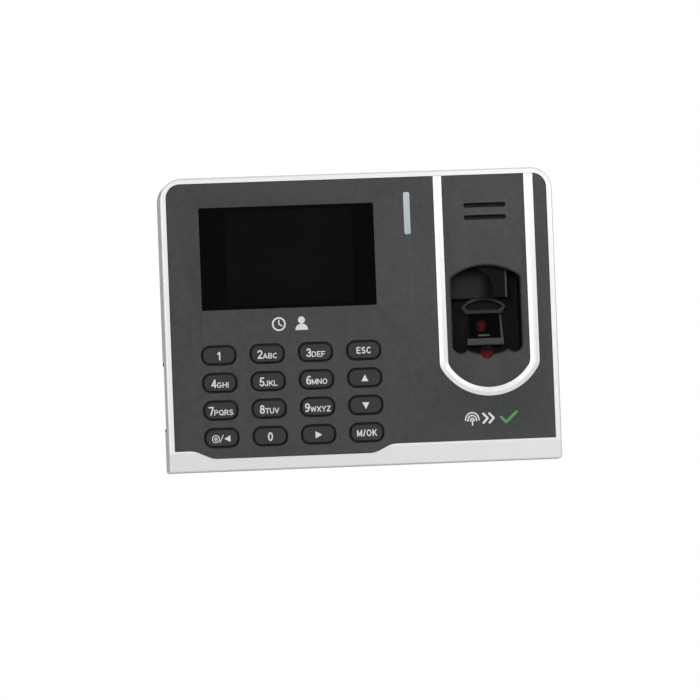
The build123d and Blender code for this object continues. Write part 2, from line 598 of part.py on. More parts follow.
def make_coin_cell():
    back = BOARD_FRONT + BOARD_T + 0.5
    cell = rod(0, 36, 10.0, back, back + 2.4) + rod(0, 36, 8.4, back + 2.4, back + 3.0)
    return cell


def make_usb_port():
    """Metal shell of a USB socket with its contact tongue."""
    top = BOARD_FRONT - USB_H
    z0, z1 = USB_Z - USB_W / 2, USB_Z + USB_W / 2
    shell = block(BAY_FLOOR_X, BAY_FLOOR_X + 14, top, BOARD_FRONT, z0, z1)
    shell -= block(BAY_FLOOR_X - 1, BAY_FLOOR_X + 12, top + 0.4, BOARD_FRONT - 0.9, z0 + 0.4, z1 - 0.4)
    tongue = block(BAY_FLOOR_X + 0.6, BAY_FLOOR_X + 12.5, top + 1.0, top + 2.9, z0 + 1.3, z1 - 1.3)
    return shell + tongue


def make_dc_jack():
    """Barrel power socket with its centre pin."""
    x0 = BAY_FLOOR_X + BAY_WALL
    body = block(x0, x0 + 13, JACK_DEPTH - 5.2, BOARD_FRONT, JACK_Z - 4.5, JACK_Z + 4.5)
    body -= side_rod(JACK_DEPTH, JACK_Z, JACK_BORE, x0, x0 + 9.5)
    return body + side_rod(JACK_DEPTH, JACK_Z, 1.0, x0 + 1.0, x0 + 9.6)


def make_reset_switch():
    x0 = BAY_FLOOR_X + 4.4
    return block(x0, x0 + 3.6, RESET_DEPTH - 2.2, BOARD_FRONT, RESET_Z - 1.5, RESET_Z + 1.5)


def make_reset_button():
    """Small push button in the port bay, with a collar that keeps it in."""
    x0 = BAY_FLOOR_X - 0.9
    button = side_rod(RESET_DEPTH, RESET_Z, RESET_R, x0, BAY_FLOOR_X + 3.7)
    button = fillet(button.faces().sort_by(Axis.X)[0].edges(), 0.3)
    collar = BAY_FLOOR_X + BAY_WALL + 0.15
    return button + side_rod(RESET_DEPTH, RESET_Z, 1.35, collar, collar + 1.0)


def make_port_bay():
    """Open box let into the left side wall, with the sockets' openings in its floor."""
    wall = BAY_WALL
    outside, inside = -WIDTH / 2 - wall, BAY_FLOOR_X + wall
    bay = block(outside, inside, BAY_D0 - wall, BAY_D1 + wall, BAY_Z0 - wall, BAY_Z1 + wall)
    bay &= drafted(0, 0, PARTING) + rear_body(0)
    bay -= block(outside, BAY_FLOOR_X, BAY_D0, BAY_D1, BAY_Z0, BAY_Z1)
    usb_z0, usb_z1 = USB_Z - USB_W / 2 - 2 * GAP, USB_Z + USB_W / 2 + 2 * GAP
    usb_front, usb_back = BOARD_FRONT - USB_H - 2 * GAP, BOARD_FRONT + 2 * GAP
    bay -= block(outside, inside + THROUGH, usb_front, usb_back, usb_z0, usb_z1)
    bay -= side_rod(JACK_DEPTH, JACK_Z, JACK_BORE + 0.2, outside, inside + THROUGH)
    return bay - side_rod(RESET_DEPTH, RESET_Z, RESET_R + 0.15, outside, inside + THROUGH)


# ---------------------------------------------------------------- back of the case
def rear_body(step):
    """Solid behind the joint, stepped in from the front frame there, narrowing to the back."""
    return loft([view(PARTING) * case_outline(-step, PARTING),
                 view(COVER_BACK) * case_outline(-COVER_INSET)], ruled=True)


def make_rear_cover():
    shell = rear_body(STEP)
    shell = fillet(shell.faces().sort_by(Axis.Y)[-1].edges(), 1.0)
    inner_back = COVER_BACK - WALL
    shell -= loft([view(PARTING) * case_outline(-STEP - WALL, PARTING),
                   view(inner_back) * case_outline(-COVER_INSET - WALL)], ruled=True)
    pocket = rect(0, 0, 2 * POCKET_HALF_W, 2 * POCKET_HALF_H, 4)
    lining = rect(0, 0, 2 * (POCKET_HALF_W + WALL), 2 * (POCKET_HALF_H + WALL), 4 + WALL)
    channel, channel_lining = rect(0, -52.4, 22, 19), rect(0, -54, 26, 21)
    deep, deep_lining = rect(0, -59.4, 22, 5), rect(0, -59.9, 26, 10.4)
    shell += slab(lining, POCKET_FLOOR - WALL, inner_back + 0.5)
    shell += slab(channel_lining, POCKET_FLOOR - WALL, inner_back + 0.5)
    shell += slab(deep_lining, 25.0, inner_back + 0.5)
    for x, z in CASE_SCREWS:
        shell += rod(x, z, TUBE_R, PARTING, inner_back + 0.5)
    for x, z in POSTS:
        shell += rod(x, z, 3.0, BOARD_FRONT + BOARD_T, inner_back + 0.5)
    shell -= slab(pocket + channel, POCKET_FLOOR, DEPTH + 1)
    shell -= slab(deep, 26.6, DEPTH + 1)
    for x, z in CASE_SCREWS:
        shell -= rod(x, z, CASE_CLEAR_R, PARTING - THROUGH, DEPTH)
        shell -= rod(x, z, CASE_SINK_R, SEAT, DEPTH + THROUGH)
    for x, z in POSTS:
        shell -= rod(x, z, POST_HOLE_R, BOARD_FRONT, POCKET_FLOOR - 1.5)
    for x in (-HOOK_X, HOOK_X):
        shell -= slab(rect(x, HOOK_Z + 2, HOOK_W + 2, 9), POCKET_FLOOR - WALL - 1, POCKET_FLOOR)
    shell -= lock_rod(1.7, LOCK_SEAT - 1, LOCK_SEAT + 4)
    shell -= lock_rod(3.1, -HEIGHT / 2 - 2, LOCK_SEAT)
    bay = (PARTING - THROUGH, BAY_D1 + BAY_WALL + GAP, BAY_Z0 - BAY_WALL - GAP, BAY_Z1 + BAY_WALL + GAP)
    return shell - block(-WIDTH, -WIDTH / 2 + 4, *bay)


def lock_rod(radius, z0, z1):
    """Upright round bar on the security screw's axis."""
    plane = Plane(origin=(0, LOCK_DEPTH - DEPTH, z0))
    return extrude(plane * Circle(radius), amount=z1 - z0)


def make_wall_bracket():
    """Steel plate with two hooks and a bent tongue for the security screw."""
    front = DEPTH - BRACKET_T
    plate = rect(0, 0, BRACKET_W, BRACKET_H, 4)
    plate += rect(0, TONGUE_Z / 2, 2 * TONGUE_HALF, -TONGUE_Z)
    for x in (-HOOK_X, HOOK_X):
        plate -= rect(x, HOOK_Z - 5.8, HOOK_W, 8, 1)
    for x in (-HOLE_X / 2, HOLE_X / 2):
        for z in (-HOLE_Z / 2, HOLE_Z / 2):
            plate -= disc(x, z, HOLE_R)
    bracket = slab(plate, front, DEPTH)
    floor_front = POCKET_FLOOR - WALL
    for x in (-HOOK_X, HOOK_X):
        x0, x1 = x - HOOK_W / 2, x + HOOK_W / 2
        bracket += block(x0, x1, floor_front - 0.1 - BRACKET_T, DEPTH, HOOK_Z - 1.8, HOOK_Z - 0.3)
        bracket += block(x0, x1, floor_front - 0.1 - BRACKET_T, floor_front - 0.1,
                         HOOK_Z - 1.8, HOOK_Z + 9.5)
    flange = block(-TONGUE_HALF, TONGUE_HALF, 27.2, DEPTH, TONGUE_Z, TONGUE_Z + BRACKET_T)
    return bracket + flange - lock_rod(1.55, TONGUE_Z - 1, TONGUE_Z + 3)


def make_bracket_screw():
    """Security screw from below, through the case into the bracket's tongue."""
    underside = LOCK_SEAT - 1.5
    head = lock_rod(2.9, underside, LOCK_SEAT)
    head = fillet(head.edges().sort_by(Axis.Z)[0], 0.5)
    socket = Plane(origin=(0, LOCK_DEPTH - DEPTH, underside)) * RegularPolygon(1.1, 6)
    return head + lock_rod(1.5, LOCK_SEAT, LOCK_SEAT + 6.4) - extrude(socket, amount=1.0)


def make_case_screws():
    return [screw(x, z, SEAT, 9.0, 2.9, 1.25, 2.0) for x, z in CASE_SCREWS]


def make_board_screws():
    """Identical small screws: four hold the main board, four the keypad board."""
    main = [screw(x, z, BOARD_FRONT, 28.5, 2.2, 0.95, 1.4) for x, z in POSTS]
    tip = KEYPAD_BACK - 4.4
    return main + [screw(x, z, KEYPAD_BACK, tip, 2.2, 0.95, 1.4) for x, z in KEYPAD_POSTS]


# ---------------------------------------------------------------- write every piece
PIECES = {
    "front_frame": make_front_frame,
    "front_panel": make_front_panel,
    "sensor_trim": make_sensor_trim,
    "lcd_window": make_lcd_window,
    "status_light_pipe": make_status_light_pipe,
    "status_led_board": make_status_led_board,
    "keypad_mat": make_keypad_mat,
    "keypad_board": make_keypad_board,
    "keypad_flex": make_keypad_flex,
    "lcd_gasket": make_lcd_gasket,
    "lcd_glass": make_lcd_glass,
    "lcd_frame": make_lcd_frame,
    "lcd_flex": make_lcd_flex,
    "finger_recess": make_finger_recess,
    "finger_guide": make_finger_guide,
    "finger_stop": make_finger_stop,
    "sensor_bezel": make_sensor_bezel,
    "sensor_prism": make_sensor_prism,
    "sensor_light_guide": make_sensor_light_guide,
    "sensor_housing": make_sensor_housing,
    "sensor_lens": make_sensor_lens,
    "sensor_board": make_sensor_board,
    "sensor_cable": make_sensor_cable,
    "speaker": make_speaker,
    "speaker_cone": make_speaker_cone,
    "speaker_gasket": make_speaker_gasket,
    "speaker_lead": make_speaker_lead,
    "light_lead": make_light_lead,
    "main_board": make_main_board,
    "board_chips": make_board_chips,
    "board_connectors": make_board_connectors,
    "coin_cell_holder": make_coin_cell_holder,
    "coin_cell": make_coin_cell,
    "usb_port": make_usb_port,
    "dc_jack": make_dc_jack,
    "reset_switch": make_reset_switch,
    "reset_button": make_reset_button,
    "port_bay": make_port_bay,
    "rear_cover": make_rear_cover,
    "case_screws": make_case_screws,
    "board_screws": make_board_screws,
    "wall_bracket": make_wall_bracket,
    "bracket_screw": make_bracket_screw,
}


def save(name, piece):
    """Write one piece, or a group of separate solids, under its own name."""
    solids = piece if isinstance(piece, list) else [piece]
    found = [s for part in solids for s in part.solids()]
    shape = found[0] if len(found) == 1 else Compound(children=found)
    shape.label = name
    export_step(shape, f"parts/{name}.step")


def main():
    os.makedirs("parts", exist_ok=True)
    for name, make in PIECES.items():
        save(name, make())
    for name, x, z in key_centres():
        save(name, make_key(x, z))


main()
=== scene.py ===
"""Looks of the wall-mounted fingerprint terminal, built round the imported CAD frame.

Everything is in metres in the frame's own axes: X to the right seen from the front, Z up,
and the front looks towards -Y. Places are worked out from the CAD nodes' boxes.
"""
import json
import math

import bmesh
import bpy
from mathutils.geometry import delaunay_2d_cdt
from mathutils import Matrix, Vector


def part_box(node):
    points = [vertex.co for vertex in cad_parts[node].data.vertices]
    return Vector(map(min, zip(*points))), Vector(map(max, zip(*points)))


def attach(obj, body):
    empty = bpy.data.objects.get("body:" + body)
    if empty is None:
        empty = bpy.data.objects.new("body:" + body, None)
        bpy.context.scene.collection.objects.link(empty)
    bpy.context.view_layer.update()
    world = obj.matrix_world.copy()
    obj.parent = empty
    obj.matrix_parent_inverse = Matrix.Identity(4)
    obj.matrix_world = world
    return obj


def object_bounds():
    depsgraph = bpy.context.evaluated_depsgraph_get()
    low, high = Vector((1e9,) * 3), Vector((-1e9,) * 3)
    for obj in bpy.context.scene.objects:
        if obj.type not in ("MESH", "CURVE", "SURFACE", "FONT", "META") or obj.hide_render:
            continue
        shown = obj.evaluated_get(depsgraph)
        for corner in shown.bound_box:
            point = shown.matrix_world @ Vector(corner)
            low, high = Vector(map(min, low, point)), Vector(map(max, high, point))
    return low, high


MM = 0.001
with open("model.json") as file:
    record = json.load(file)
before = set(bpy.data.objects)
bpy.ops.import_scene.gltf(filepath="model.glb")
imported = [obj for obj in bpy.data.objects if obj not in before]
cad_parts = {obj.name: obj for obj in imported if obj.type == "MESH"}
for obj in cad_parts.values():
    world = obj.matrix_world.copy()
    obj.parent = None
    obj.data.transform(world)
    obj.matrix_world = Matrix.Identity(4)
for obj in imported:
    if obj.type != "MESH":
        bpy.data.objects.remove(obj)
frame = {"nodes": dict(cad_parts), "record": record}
CAD_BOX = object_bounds()
NODES = frame["nodes"]
KEY_LABELS = {
    "key_1": ("1", ""), "key_2": ("2", "ABC"), "key_3": ("3", "DEF"),
    "key_4": ("4", "GHI"), "key_5": ("5", "JKL"), "key_6": ("6", "MNO"),
    "key_7": ("7", "PQRS"), "key_8": ("8", "TUV"), "key_9": ("9", "WXYZ"),
    "key_0": ("0", ""), "key_escape": ("", "ESC"), "key_ok": ("", "M/OK"),
}

# Letter shapes for a capital height of 1: width, then the paths of the pen's middle.
# A path is a chain of points (x, y) and arcs (x, y, radius x, radius y, start, stop) in degrees.
P_BOWL = [(0.08, 0.04), (0.08, 0.92), (0.34, 0.92), (0.34, 0.69, 0.21, 0.23, 90, -90), (0.08, 0.46)]
GLYPHS = {
    "0": (0.60, [[(0.30, 0.50, 0.21, 0.42, 90, 270)], [(0.30, 0.50, 0.21, 0.42, -90, 90)]]),
    "1": (0.46, [[(0.10, 0.70), (0.31, 0.90)], [(0.31, 0.90), (0.31, 0.06)]]),
    "2": (0.60, [[(0.30, 0.68, 0.21, 0.24, 165, -35), (0.10, 0.08)], [(0.10, 0.08), (0.53, 0.08)]]),
    "3": (0.58, [[(0.28, 0.71, 0.18, 0.21, 160, -90)], [(0.28, 0.29, 0.21, 0.21, 90, -160)]]),
    "4": (0.62, [[(0.43, 0.06), (0.43, 0.90)], [(0.43, 0.90), (0.08, 0.28)], [(0.08, 0.28), (0.56, 0.28)]]),
    "5": (0.60, [[(0.50, 0.92), (0.17, 0.92)], [(0.17, 0.92), (0.12, 0.52)],
                 [(0.29, 0.31, 0.21, 0.25, 140, -155)]]),
    "6": (0.60, [[(0.30, 0.31, 0.20, 0.23, 90, 270)], [(0.30, 0.31, 0.20, 0.23, -90, 90)],
                 [(0.36, 0.36, 0.26, 0.56, 62, 185)]]),
    "7": (0.58, [[(0.08, 0.92), (0.52, 0.92)], [(0.52, 0.92), (0.24, 0.06)]]),
    "8": (0.60, [[(0.30, 0.71, 0.17, 0.20, 90, 270)], [(0.30, 0.71, 0.17, 0.20, -90, 90)],
                 [(0.30, 0.29, 0.21, 0.22, 90, 270)], [(0.30, 0.29, 0.21, 0.22, -90, 90)]]),
    "9": (0.60, [[(0.30, 0.69, 0.20, 0.23, 90, 270)], [(0.30, 0.69, 0.20, 0.23, -90, 90)],
                 [(0.24, 0.64, 0.26, 0.56, 5, -118)]]),
    "A": (0.70, [[(0.06, 0.06), (0.35, 0.92)], [(0.35, 0.92), (0.64, 0.06)], [(0.15, 0.30), (0.55, 0.30)]]),
    "B": (0.64, [[(0.08, 0.08), (0.08, 0.92), (0.34, 0.92), (0.34, 0.72, 0.18, 0.20, 90, -90),
                  (0.08, 0.52)],
                 [(0.34, 0.50), (0.36, 0.29, 0.20, 0.21, 90, -90), (0.08, 0.08)]]),
    "C": (0.68, [[(0.36, 0.50, 0.28, 0.42, 50, 310)]]),
    "D": (0.70, [[(0.08, 0.08), (0.08, 0.92), (0.30, 0.92), (0.30, 0.50, 0.31, 0.42, 90, -90),
                  (0.08, 0.08)]]),
    "E": (0.60, [[(0.54, 0.92), (0.08, 0.92), (0.08, 0.08), (0.55, 0.08)], [(0.08, 0.51), (0.49, 0.51)]]),
    "F": (0.56, [[(0.52, 0.92), (0.08, 0.92), (0.08, 0.06)], [(0.08, 0.50), (0.46, 0.50)]]),
    "G": (0.74, [[(0.37, 0.50, 0.29, 0.42, 50, 312), (0.65, 0.44), (0.42, 0.44)]]),
    "H": (0.68, [[(0.08, 0.06), (0.08, 0.94)], [(0.60, 0.06), (0.60, 0.94)], [(0.08, 0.50), (0.60, 0.50)]]),
    "I": (0.20, [[(0.10, 0.06), (0.10, 0.94)]]),
    "J": (0.50, [[(0.40, 0.94), (0.40, 0.30), (0.23, 0.30, 0.17, 0.22, 0, -175)]]),
    "K": (0.66, [[(0.08, 0.06), (0.08, 0.94)], [(0.57, 0.93), (0.10, 0.40)], [(0.27, 0.57), (0.60, 0.06)]]),
    "L": (0.56, [[(0.08, 0.94), (0.08, 0.08), (0.52, 0.08)]]),
    "M": (0.78, [[(0.08, 0.06), (0.08, 0.92), (0.39, 0.14), (0.70, 0.92), (0.70, 0.06)]]),
    "N": (0.68, [[(0.08, 0.06), (0.08, 0.92), (0.60, 0.08), (0.60, 0.94)]]),
    "O": (0.74, [[(0.37, 0.50, 0.29, 0.42, 90, 270)], [(0.37, 0.50, 0.29, 0.42, -90, 90)]]),
    "P": (0.62, [P_BOWL]),
    "Q": (0.74, [[(0.37, 0.50, 0.29, 0.42, 90, 270)], [(0.37, 0.50, 0.29, 0.42, -90, 90)],
                 [(0.44, 0.24), (0.66, 0.04)]]),
    "R": (0.66, [P_BOWL, [(0.34, 0.46), (0.58, 0.06)]]),
    "S": (0.62, [[(0.31, 0.71, 0.21, 0.21, 40, 270)], [(0.31, 0.29, 0.23, 0.21, 90, -145)]]),
    "T": (0.60, [[(0.05, 0.92), (0.57, 0.92)], [(0.31, 0.92), (0.31, 0.06)]]),
    "U": (0.66, [[(0.08, 0.94), (0.08, 0.34), (0.33, 0.34, 0.25, 0.26, 180, 360), (0.58, 0.94)]]),
    "V": (0.66, [[(0.06, 0.94), (0.33, 0.08), (0.60, 0.94)]]),
    "W": (0.92, [[(0.06, 0.94), (0.26, 0.08), (0.46, 0.88), (0.66, 0.08), (0.86, 0.94)]]),
    "X": (0.64, [[(0.07, 0.94), (0.57, 0.06)], [(0.57, 0.94), (0.07, 0.06)]]),
    "Y": (0.64, [[(0.06, 0.94), (0.32, 0.46), (0.58, 0.94)], [(0.32, 0.46), (0.32, 0.06)]]),
    "Z": (0.62, [[(0.08, 0.92), (0.55, 0.92), (0.07, 0.08), (0.57, 0.08)]]),
    "/": (0.36, [[(0.06, 0.02), (0.30, 0.98)]]),
}

# camera: nearly square to the front, slightly to the left and below, tilted a little
CAMERA_YAW, CAMERA_PITCH, CAMERA_ROLL = 3.99, 1.37, 2.21
CAMERA_DISTANCE = 1.5
CAMERA_LENS, CAMERA_SENSOR = 168.7, 36.0       # millimetres
MOUNTING_HEIGHT = 1.2       # the terminal hangs this far above the floor
CAMERA_AIM = Vector((-5.8 * MM, CAD_BOX[0].y, -14.0 * MM))


# ---------------------------------------------------------------- shader helpers
class Shader:
    """A material with short calls for the nodes used here."""

    def __init__(self, name, colour, roughness, metallic=0.0, specular=0.5):
        self.material = bpy.data.materials.new(name)
        self.material.use_nodes = True
        self.tree = self.material.node_tree
        self.surface = self.tree.nodes["Principled BSDF"]
        self.surface.inputs["Base Color"].default_value = (*colour, 1.0)
        self.surface.inputs["Roughness"].default_value = roughness
        self.surface.inputs["Metallic"].default_value = metallic
        self.surface.inputs["Specular IOR Level"].default_value = specular
        self.place = self.tree.nodes.new("ShaderNodeTexCoord").outputs["Object"]

    def node(self, kind, **settings):
        made = self.tree.nodes.new(kind)
        for key, value in settings.items():
            setattr(made, key, value)
        return made

    def link(self, output, target):
        self.tree.links.new(output, target)
        return output

    def stretched(self, size):
        """Object coordinates scaled differently along each axis."""
        mapping = self.node("ShaderNodeMapping")
        mapping.inputs["Scale"].default_value = size
        self.link(self.place, mapping.inputs["Vector"])
        return mapping.outputs["Vector"]

    def noise(self, size, detail=3.0, rough=0.55, where=None):
        """Noise with features of about a size in metres."""
        made = self.node("ShaderNodeTexNoise")
        made.inputs["Scale"].default_value = 1.0 / size
        made.inputs["Detail"].default_value = detail
        made.inputs["Roughness"].default_value = rough
        self.link(where or self.place, made.inputs["Vector"])
        return made.outputs["Fac"]

    def cells(self, size, where=None):
        made = self.node("ShaderNodeTexVoronoi", feature="F1")
        made.inputs["Scale"].default_value = 1.0 / size
        self.link(where or self.place, made.inputs["Vector"])
        return made.outputs["Distance"]

    def spread(self, factor, low, high, from_low=0.3, from_high=0.7):
        """Factor stretched from one range to another."""
        made = self.node("ShaderNodeMapRange", clamp=True)
        for key, value in (("From Min", from_low), ("From Max", from_high),
                           ("To Min", low), ("To Max", high)):
            made.inputs[key].default_value = value
        self.link(factor, made.inputs["Value"])
        return made.outputs["Result"]

    def tint(self, factor, stops):
        """Colour that follows a factor; stops are (position, colour)."""
        ramp = self.node("ShaderNodeValToRGB").color_ramp
        while len(ramp.elements) < len(stops):
            ramp.elements.new(0.5)
        for element, (position, colour) in zip(ramp.elements, stops):
            element.position = position
            element.color = (*colour, 1.0)
        made = self.tree.nodes[-1]
        self.link(factor, made.inputs["Fac"])
        return made.outputs["Color"]

    def maths(self, operation, first, second):
        made = self.node("ShaderNodeMath", operation=operation)
        for socket, value in zip(made.inputs, (first, second)):
            if isinstance(value, (int, float)):
                socket.default_value = value
            else:
                self.link(value, socket)
        return made.outputs["Value"]

    def mix(self, factor, first, second):
        """Blend of two colours, each a colour or a node's output."""
        made = self.node("ShaderNodeMix", data_type="RGBA")
        self.link(factor, made.inputs["Factor"])
        for name, value in (("A", first), ("B", second)):
            socket = [s for s in made.inputs if s.name == name and s.type == "RGBA"][0]
            if isinstance(value, tuple):
                socket.default_value = (*value, 1.0)
            else:
                self.link(value, socket)
        return [s for s in made.outputs if s.type == "RGBA"][0]

    def colour(self, output):
        self.link(output, self.surface.inputs["Base Color"])
        return self

    def roughness(self, output):
        self.link(output, self.surface.inputs["Roughness"])
        return self

    def bump(self, height, depth, strength=1.0):
        """Surface relief from a factor; depth is its full height in metres."""
        made = self.node("ShaderNodeBump")
        made.inputs["Distance"].default_value = depth
        made.inputs["Strength"].default_value = strength
        self.link(height, made.inputs["Height"])
        self.link(made.outputs["Normal"], self.surface.inputs["Normal"])
        return self

    def axis(self, name):
        """One coordinate of the place, in metres."""
        made = self.node("ShaderNodeSeparateXYZ")
        self.link(self.place, made.inputs["Vector"])
        return made.outputs[name]

    def inside(self, x0, x1, z0, z1, soft):
        """1 inside a rectangle seen from the front, falling to 0 over a soft margin."""
        total = None
        for name, low, high in (("X", x0, x1), ("Z", z0, z1)):
            value = self.axis(name)
            rise = self.spread(value, 0.0, 1.0, low - soft, low + soft)
            fall = self.spread(value, 1.0, 0.0, high - soft, high + soft)
            both = self.maths("MULTIPLY", rise, fall)
            total = both if total is None else self.maths("MULTIPLY", total, both)
        return total

    def wear(self, amount=0.5):
        """Lighter rub marks along outer edges."""
        edge = self.node("ShaderNodeNewGeometry").outputs["Pointiness"]
        marks = self.spread(edge, 0.0, amount, 0.52, 0.6)
        return self.maths("MULTIPLY", marks, self.noise(4 * MM, 4.0))


# ---------------------------------------------------------------- materials
def silver_paint():
    s = Shader("silver_paint", (0.78, 0.79, 0.80), 0.38, metallic=0.15, specular=0.5)
    flakes = s.noise(0.12 * MM, 2.0)
    cloud = s.noise(30 * MM, 2.0)
    fine = s.tint(flakes, [(0.35, (0.74, 0.75, 0.76)), (0.65, (0.83, 0.84, 0.85))])
    s.colour(s.mix(s.spread(cloud, 0.0, 0.25), fine, (0.80, 0.80, 0.79)))
    s.roughness(s.spread(s.noise(3 * MM), 0.33, 0.44))
    s.surface.inputs["Coat Weight"].default_value = 0.25
    s.surface.inputs["Coat Roughness"].default_value = 0.2
    return s.bump(s.noise(0.25 * MM, 2.0), 0.01 * MM, 0.5).material


def moulded(name, colour, rough, grain, depth, specular=0.45):
    """Spark-eroded plastic: grain of a size and depth, slightly blotchy."""
    s = Shader(name, colour, rough, specular=specular)
    dark = tuple(0.82 * c for c in colour)
    light = tuple(1.22 * c for c in colour)
    speck = s.tint(s.noise(grain, 4.0, 0.65), [(0.35, dark), (0.68, light)])
    cloud = s.spread(s.noise(14 * MM, 3.0), 0.0, 0.35)
    base = s.mix(cloud, speck, tuple(1.12 * c for c in colour))
    s.colour(s.mix(s.wear(0.5), base, tuple(min(1.0, 2.2 * c) for c in colour)))
    s.roughness(s.spread(s.noise(2.5 * MM), rough - 0.06, rough + 0.07))
    return s.bump(s.noise(grain, 4.0, 0.6), depth, 0.8).material


def dark_panel():
    """Textured front: visible grain, soft clouding and a faint flow line below the light bar."""
    low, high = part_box("status_light_pipe")
    grain = 1.5 * MM
    s = Shader("dark_panel", (0.03, 0.0315, 0.0325), 0.5, specular=0.35)
    dark, light = (0.0150, 0.0158, 0.0164), (0.0290, 0.0305, 0.0315)
    speck = s.tint(s.noise(grain, 5.0, 0.75), [(0.34, dark), (0.66, light)])
    cloud = s.spread(s.noise(34 * MM, 2.0), 0.0, 0.45, 0.35, 0.65)
    base = s.mix(cloud, speck, (0.034, 0.0352, 0.036))
    rub = s.mix(s.wear(0.35), base, (0.09, 0.092, 0.095))
    middle = (low.x + high.x) / 2 + 0.8 * MM
    line = s.inside(middle - 0.2 * MM, middle + 0.2 * MM, low.z - 28 * MM, low.z, 0.25 * MM)
    s.colour(s.mix(s.maths("MULTIPLY", line, 0.35), rub, (0.075, 0.077, 0.079)))
    s.roughness(s.spread(s.noise(2.5 * MM), 0.44, 0.58))
    return s.bump(s.noise(0.4 * MM, 4.0, 0.6), 0.05 * MM, 0.8).material


def dark_shell():
    return moulded("dark_shell", (0.05, 0.052, 0.055), 0.55, 0.6 * MM, 0.08 * MM)


def well_plastic():
    return moulded("well_plastic", (0.0045, 0.0045, 0.0047), 0.42, 0.5 * MM, 0.015 * MM, 0.06)


def guide_plastic():
    """The hollow is painted as the lit grey area; the block round it is painted near-black as its shade, and
    the edge facing right and front carries a painted highlight.
    """
    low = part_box("finger_guide")[0]
    s = Shader("guide_plastic", (0.012, 0.012, 0.0122), 0.5, specular=0.05)
    # painted light and shade: this mask makes the hollow the lit grey area and the rest of the block
    # near-black painted shade
    hollow = s.inside(low.x - 4 * MM, low.x + 15.5 * MM, low.z - 4 * MM, low.z + 10.5 * MM, 2.2 * MM)
    dark, light = (0.014, 0.0145, 0.0147), (0.023, 0.0235, 0.0238)
    grey = s.tint(s.noise(0.5 * MM, 4.0, 0.65), [(0.3, dark), (0.7, light)])
    body = s.mix(hollow, (0.0035, 0.0035, 0.0036), grey)
    facing = s.node("ShaderNodeSeparateXYZ")
    s.link(s.node("ShaderNodeTexCoord").outputs["Normal"], facing.inputs["Vector"])
    # painted highlight: faces turned to the right and front get a pale colour, standing in for the light
    # streak along the guide's right edge
    turned = s.maths("MULTIPLY", s.spread(facing.outputs["X"], 0.0, 1.0, 0.45, 0.6),
                     s.spread(facing.outputs["Y"], 1.0, 0.0, -0.5, -0.35))
    s.colour(s.mix(turned, body, (0.09, 0.092, 0.094)))
    s.roughness(s.spread(s.noise(1.5 * MM), 0.42, 0.56))
    return s.bump(s.noise(0.5 * MM, 4.0), 0.015 * MM, 0.7).material


def usb_steel():
    """Bright shell; the contact tongue inside is black with a row of gilt contacts."""
    low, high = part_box("usb_port")
    s = Shader("usb_steel", (0.62, 0.62, 0.63), 0.28, specular=0.5)
    depth, width = high.y - low.y, high.z - low.z
    inner = s.maths("MULTIPLY", s.spread(s.axis("Y"), 0.0, 1.0, low.y + 0.8 * MM, low.y + 0.9 * MM),
                    s.spread(s.axis("Y"), 1.0, 0.0, high.y - 2.6 * MM, high.y - 2.5 * MM))
    inner = s.maths("MULTIPLY", inner, s.spread(s.axis("Z"), 0.0, 1.0, low.z + 0.8 * MM, low.z + 0.9 * MM))
    inner = s.maths("MULTIPLY", inner, s.spread(s.axis("Z"), 1.0, 0.0, high.z - 0.9 * MM, high.z - 0.8 * MM))
    pitch = width / 5.0
    shift = s.maths("SUBTRACT", s.axis("Z"), low.z)
    band = s.maths("PINGPONG", shift, pitch / 2)
    contact = s.spread(band, 1.0, 0.0, 0.45 * MM, 0.55 * MM)
    under = s.spread(s.axis("Y"), 0.0, 1.0, low.y + 0.35 * depth, low.y + 0.38 * depth)
    tongue = s.mix(s.maths("MULTIPLY", contact, under), (0.012, 0.012, 0.013), (0.62, 0.44, 0.16))
    steel = s.mix(s.noise(2 * MM, 4.0), (0.50, 0.50, 0.51), (0.62, 0.62, 0.63))
    s.colour(s.mix(inner, steel, tongue))
    s.link(s.maths("SUBTRACT", 1.0, inner), s.surface.inputs["Metallic"])
    s.roughness(s.spread(s.noise(0.4 * MM, 4.0), 0.2, 0.36))
    return s.bump(s.noise(0.4 * MM), 0.005 * MM, 0.4).material


def stop_plastic():
    """Grey rim, with painted shade making the hollow behind it nearly black."""
    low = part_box("finger_stop")[0]
    s = Shader("stop_plastic", (0.03, 0.031, 0.032), 0.5, specular=0.07)
    rim = s.tint(s.noise(0.4 * MM, 3.0), [(0.3, (0.022, 0.0225, 0.023)), (0.7, (0.034, 0.035, 0.036))])
    # painted shade: surfaces set back behind the rim's front are coloured nearly black
    recess_shade = s.spread(s.axis("Y"), 0.0, 1.0, low.y + 0.1 * MM, low.y + 0.4 * MM)
    s.colour(s.mix(recess_shade, rim, (0.004, 0.004, 0.0042)))
    s.roughness(s.spread(s.noise(1.5 * MM), 0.38, 0.52))
    return s.bump(s.noise(0.4 * MM, 3.0), 0.02 * MM, 0.7).material


def sensor_grey():
    return moulded("sensor_grey", (0.032, 0.032, 0.0315), 0.45, 0.4 * MM, 0.02 * MM, 0.25)


def black_plastic():
    return moulded("black_plastic", (0.018, 0.018, 0.019), 0.45, 0.3 * MM, 0.02 * MM)


def key_rubber():
    """Matt rubber, with painted shade darkening the rounded shoulders."""
    s = Shader("key_rubber", (0.03, 0.031, 0.031), 0.6, specular=0.25)
    face = s.tint(s.noise(0.5 * MM, 3.0), [(0.3, (0.023, 0.024, 0.024)), (0.7, (0.033, 0.034, 0.034))])
    facing = s.node("ShaderNodeSeparateXYZ")
    s.link(s.node("ShaderNodeTexCoord").outputs["Normal"], facing.inputs["Vector"])
    # painted shade: faces turned away from the front are coloured nearly black, standing in for the shadow
    # from the surround
    shoulder_shade = s.spread(facing.outputs["Y"], 0.0, 1.0, -0.97, -0.80)
    s.colour(s.mix(shoulder_shade, face, (0.006, 0.006, 0.0062)))
    s.roughness(s.spread(s.noise(2 * MM), 0.55, 0.68))
    return s.bump(s.noise(0.25 * MM, 3.0), 0.02 * MM, 0.7).material


